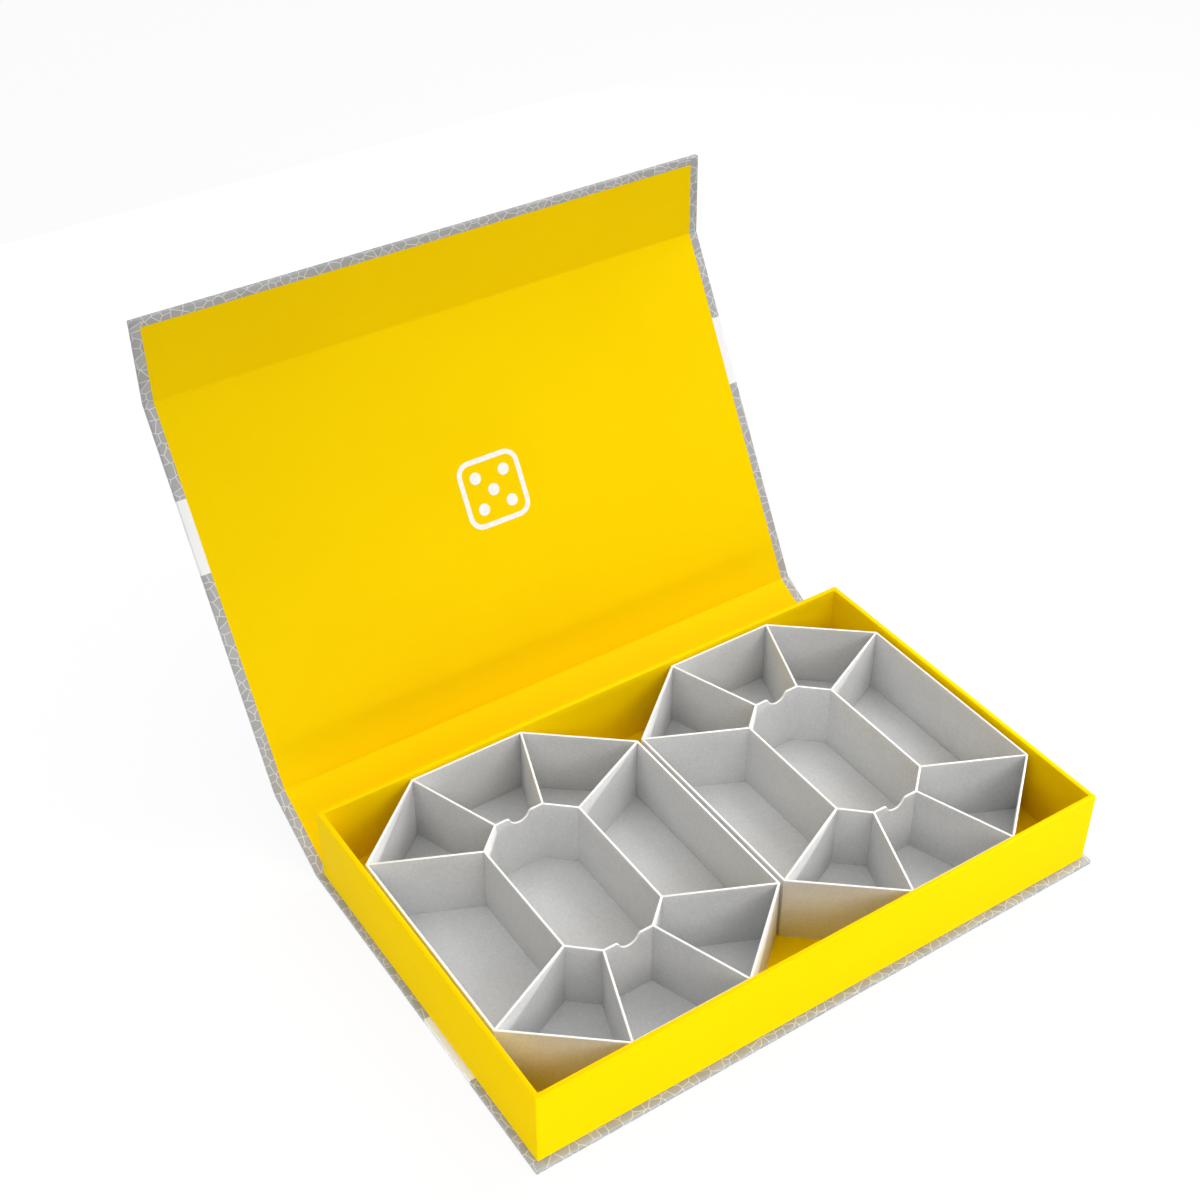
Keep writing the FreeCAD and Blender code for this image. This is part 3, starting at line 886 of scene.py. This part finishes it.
ink_height = lid.extent("lid_liner")[1].z + PROUD
marks = [die_frame(ink_height), pip(ink_height, 0, 0)]
marks += [pip(ink_height, x * PIP_STEP, y * PIP_STEP) for x in (-1, 1) for y in (-1, 1)]
bpy.ops.object.select_all(action="DESELECT")
for mark in marks:
    mark.select_set(True)
bpy.context.view_layer.objects.active = marks[0]
bpy.ops.object.join()
emblem = bpy.context.object
emblem.name = "lid_emblem"
note_flat_place(emblem, lid.sheet_start)
dress(raise_panel(emblem, lid), emblem_ink)
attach(emblem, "lid")
print("emblem:", len(emblem.data.polygons), "faces")

# %% [markdown]
# ## Finishes for the solids that stay
# The boards, magnets, catch plates and the tray's floor keep their solids, because their shapes are already
# right and most of them are out of sight. Each still gets its own finish.

# %% Finish the remaining solids
SOLID_FINISHES = {"tray_floor_liner": tray_paper, "flap_magnets": plated, "catch_plates": plated}
kept = [node for node, solid in frame["nodes"].items() if not solid.hide_render]
for node in kept:
    solid = frame["nodes"][node]
    solid.data.materials.clear()
    solid.data.materials.append(SOLID_FINISHES.get(node, board))
print("solids kept:", kept)

# %% [markdown]
# ## Floor and sky
# The box stands on a white studio floor that runs out of sight. The rays that show the background see floor
# and sky as plain white, and the floor keeps a little of the box's shadow. All other rays meet a darker
# floor, so that it doesn't throw too much light up at the flap, and a sky that is bright overhead.

# %% Floor and sky
WHITE = (1.0, 1.0, 1.0, 1.0)
FLOOR_SIZE = 6.0
FLOOR_DROP = 0.1 * MM
FLOOR_WHITE = (0.96, 0.96, 0.96, 1.0)
FLOOR_BOUNCE = (0.35, 0.35, 0.35, 1.0)
FLOOR_ROUGHNESS = 0.9
FLOOR_SHEEN = 0.1
SHADOW_KEPT = 0.10
HORIZON = 0.01
ZENITH = 1.11
PLAIN = 1.0


def seen_as_background(web):
    """1 for the rays that show the background: straight to the camera, mirrored or through glass."""
    kinds = ("Is Camera Ray", "Is Glossy Ray", "Is Transmission Ray")
    camera, glossy, through = [web.node("ShaderNodeLightPath", None, None, kind) for kind in kinds]
    return camera + glossy + through


def blend_shaders(web, share, first, second):
    return web.node("ShaderNodeMixShader", None, {0: share, 1: first, 2: second})


def studio_floor():
    bpy.ops.object.select_all(action="DESELECT")
    bpy.ops.mesh.primitive_plane_add(size=FLOOR_SIZE, location=(0, 0, -FLOOR_DROP))
    floor = bpy.context.object
    floor.name = "studio_floor"
    finish = Finish("studio_white", Roughness=FLOOR_ROUGHNESS, Specular_IOR_Level=FLOOR_SHEEN)
    seen = seen_as_background(finish)
    finish.shade(Base_Color=finish.mix(seen, FLOOR_BOUNCE, FLOOR_WHITE))
    white = finish.node("ShaderNodeEmission")
    shaded = Link(finish, finish.shader.outputs[0])
    surface = blend_shaders(finish, seen * (1 - SHADOW_KEPT), shaded, white)
    finish.feed(finish.tree.nodes["Material Output"].inputs["Surface"], surface)
    floor.data.materials.append(finish.material)


def studio_sky():
    """A sky that is brighter overhead than at the horizon, and plain white as a background."""
    world = bpy.data.worlds.new("studio_sky")
    scene.world = world
    world.use_nodes = True
    web = Web(world.node_tree)
    horizon, zenith, plain = [
        web.node("ShaderNodeBackground", None, {"Color": WHITE, "Strength": strength})
        for strength in (HORIZON, ZENITH, PLAIN)
    ]
    place = web.node("ShaderNodeTexCoord", None, None, "Generated")
    height = web.node("ShaderNodeSeparateXYZ", None, {0: place}, "Z")
    sky = blend_shaders(web, height * height, horizon, zenith)
    surface = blend_shaders(web, seen_as_background(web), sky, plain)
    web.feed(web.tree.nodes["World Output"].inputs["Surface"], surface)


studio_floor()
studio_sky()
print("floor and sky:", scene.world.name, "from", HORIZON, "at the horizon to", ZENITH, "overhead")

# %% [markdown]
# ## Lamps
# A large soft lamp high on the right is the key, with a weaker one on the left and one in front. Three low
# lamps stand for the light that a white floor throws back at the front, left and rear of the box. Last, a
# narrow spot from the right skims the tray and picks out the rims of the inserts.

# %% Hang the lamps
SPOT_CONE = math.radians(9.0)
SPOT_BLEND = 0.15
SPOT_RADIUS = 0.05


def hang(data, place, target):
    """Sets a lamp at its place, turned to its target."""
    lamp = bpy.data.objects.new(data.name, data)
    lamp.location = place
    lamp.rotation_euler = (Vector(target) - Vector(place)).to_track_quat("-Z", "Y").to_euler()
    scene.collection.objects.link(lamp)
    return lamp


def soft_lamp(name, place, target, size, watts):
    """A glowing rectangle, which the camera doesn't see."""
    data = bpy.data.lights.new(name, "AREA")
    data.shape = "RECTANGLE"
    data.size, data.size_y = size
    data.energy = watts
    hang(data, place, target).visible_camera = False


def grazing_spot(name, place, target, watts):
    """A narrow lamp whose beam only skims the tray's rims."""
    data = bpy.data.lights.new(name, "SPOT")
    data.spot_size = SPOT_CONE
    data.spot_blend = SPOT_BLEND
    data.shadow_soft_size = SPOT_RADIUS
    data.energy = watts
    hang(data, place, target)


soft_lamp("key_lamp", (0.62, 0.10, 0.80), (0.0, 0.08, 0.06), size=(0.7, 0.7), watts=4.8)
soft_lamp("left_lamp", (-0.80, 0.10, 0.80), (0.0, 0.08, 0.06), size=(0.6, 0.6), watts=0.7)
soft_lamp("front_lamp", (0.0, -1.10, 0.75), (0.0, 0.10, 0.08), size=(0.8, 0.5), watts=4.2)
soft_lamp("front_floor_lamp", (-0.05, -0.28, 0.03), (-0.05, -0.09, 0.014), size=(0.8, 0.07), watts=0.73)
soft_lamp("left_floor_lamp", (-0.36, 0.06, 0.03), (-0.142, 0.06, 0.015), size=(0.5, 0.06), watts=0.32)
soft_lamp("rear_floor_lamp", (0.0, 0.75, 0.06), (0.0, 0.16, 0.09), size=(0.8, 0.2), watts=3.0)
grazing_spot("rim_spot", (1.30, -0.03, 0.31), (-0.01, -0.018, 0.038), watts=60.0)
print("lamps:", [light.name for light in bpy.data.lights])

# %% [markdown]
# ## Camera
# The camera stands high in front of the left corner and looks down into the tray. Its place, its right and
# up directions and its lens were fitted to the tray's corners as they appear in the photograph.

# %% Camera at the photograph's place
LENS = 55.445
SENSOR = 36.0
CAMERA_PLACE = Vector((-0.3528, -0.4480, 0.6002))
CAMERA_RIGHT = Vector((0.83327, -0.55286, 0.0))
CAMERA_UP = Vector((0.34226, 0.51586, 0.78532))

camera_data = bpy.data.cameras.new("photo_camera")
camera_data.sensor_width = SENSOR
camera_data.lens = LENS
camera = bpy.data.objects.new("photo_camera", camera_data)
axes = (CAMERA_RIGHT, CAMERA_UP, CAMERA_RIGHT.cross(CAMERA_UP))
camera.matrix_world = Matrix.Translation(CAMERA_PLACE) @ Matrix(axes).transposed().to_4x4()
scene.collection.objects.link(camera)
scene.camera = camera
scene.view_settings.view_transform = "Standard"
print("camera at mm", [round(v / MM) for v in camera.location])
